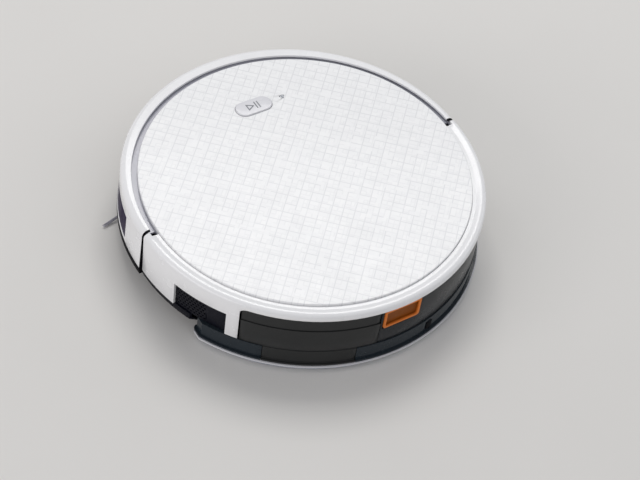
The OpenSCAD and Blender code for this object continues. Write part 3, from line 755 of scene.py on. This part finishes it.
# the pad's edge from its top down: share of the outline, share of the thickness
PAD_EDGE = (
    (0.965, 1.00),
    (0.99, 0.985),
    (0.999, 0.90),
    (1.0, 0.72),
    (0.9985, 0.50),
    (0.996, 0.42),
    (0.9985, 0.30),
    (0.995, 0.14),
    (0.985, 0.05),
    (0.965, 0.012),
)
PAD_CORNER = 4 * MM
UNDERSIDE_RINGS = 16
CHANNEL_PITCH = 24 * MM
CHANNEL_DEPTH = 0.35 * MM
LOOP_HEIGHT = 0.12 * MM


def cloth_outline(radius, half_width, front, corner):
    """D-shaped plan of the mop cloth, clockwise from its front right corner."""
    side = half_width - corner
    rear = -math.sqrt((radius - corner) ** 2 - side**2)
    meet = math.degrees(math.atan2(rear, side))
    points = arc(Vector((side, front - corner)), corner, 90, 0, 6)
    points += arc(Vector((side, rear)), corner, 0, meet, 6)
    points += arc(Vector((0, 0)), radius, meet - 1, -179 - meet, 120)
    points += arc(Vector((-side, rear)), corner, -180 - meet, -180, 6)
    points += arc(Vector((-side, front - corner)), corner, 180, 90, 6)
    return points


def mop_pad(paints):
    """Microfibre pad: bound edge, pillowed sides and a looped, channelled underside."""
    rng = random.Random(5)
    low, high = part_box("mop_cloth")
    outline = cloth_outline(-low.y, high.x, high.y, PAD_CORNER)
    middle = Vector((0, (low.y + high.y) / 2))
    thick = high.z - low.z
    rings = [
        raised([middle + (point - middle) * share for point in outline], low.z + height * thick)
        for share, height in PAD_EDGE
    ]
    for i in range(UNDERSIDE_RINGS):
        share = 0.93 - 0.055 * i
        ring = []
        for point in outline:
            spot = middle + (point - middle) * share
            channel = 0.5 - 0.5 * math.cos(math.tau * spot.x / CHANNEL_PITCH)
            lift = CHANNEL_DEPTH * (1 - channel**0.35) + rng.uniform(0, LOOP_HEIGHT)
            ring.append(Vector((spot.x, spot.y, low.z + lift)))
        rings.append(ring)
    shape = bmesh.new()
    loft(shape, rings)
    piece = new_piece("mop_pad", shape, paints["mop_fabric"], "mop_tank")
    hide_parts("mop_cloth")


# ---------------------------------------------------------------- carried-over CAD nodes

# how far each node's sharp edges are rounded, in millimetres
BEVELS = {
    "upper_shell": 0.35,
    "bumper_shell": 0.5,
    "top_disc": 0.3,
    "base_tray": 0.4,
    "bin_face": 0.5,
    "bin_window": 0.5,
    "bin_body": 0.4,
    "bin_lid": 0.4,
    "release_button": 0.6,
    "water_tank": 0.8,
    "tank_pump": 0.5,
    "mop_plate": 0.9,
    "bumper_window": 0.3,
    "bumper_strip": 0.3,
    "exhaust_grilles": 0.15,
    "battery_door": 0.4,
    "brush_guard": 0.5,
    "brush_housing": 0.5,
    "side_brush_left": 0.4,
    "side_brush_right": 0.4,
    "wheel_arm_left": 0.5,
    "wheel_arm_right": 0.5,
    "wheel_hub_left": 0.4,
    "wheel_hub_right": 0.4,
    "tyre_left": 0.35,
    "tyre_right": 0.35,
    "caster_fork": 0.4,
    "caster_wheel": 0.8,
    "power_rocker": 0.4,
    "switch_housing": 0.4,
    "base_screws": 0.15,
    "filter_frame": 0.4,
    "fan_housing": 0.4,
    "battery_pack": 0.3,
    "charge_contacts": 0.3,
    "cliff_sensors": 0.3,
    "tank_plug": 0.5,
}
SHARP = math.radians(32)
# a node that looks like another slot's material than its own
LOOKS_LIKE = {"tank_pump": "bin_cover"}


def soften_edges(name, width):
    """A small rounding on a CAD node's sharp edges, as a moulding has."""
    node = nodes[name]
    weld = node.modifiers.new("weld", "WELD")
    weld.merge_threshold = 0.01 * MM
    bevel = node.modifiers.new("bevel", "BEVEL")
    bevel.width = width * MM
    bevel.segments = 2
    bevel.limit_method = "ANGLE"
    bevel.angle_limit = SHARP
    bevel.use_clamp_overlap = True
    bevel.harden_normals = False


def dress_nodes(paints):
    """Gives every CAD node its finish, and the outer ones rounded edges."""
    for row in frame["record"]["subparts"]:
        node = nodes[row["node"]]
        material = paints[LOOKS_LIKE.get(row["node"], row["material_slot"])]
        for slot in node.material_slots:
            slot.material = material
    for name, width in BEVELS.items():
        soften_edges(name, width)


# ---------------------------------------------------------------- the scene

add_camera()
add_lights()
add_floor()
finishes = make_materials()
dress_nodes(finishes)
start_button_cap(finishes)
wireless_icon(finishes)
for hand in (1, -1):
    side_tufts(finishes, hand)
brush_rows(finishes)
mop_pad(finishes)

bpy.context.view_layer.update()
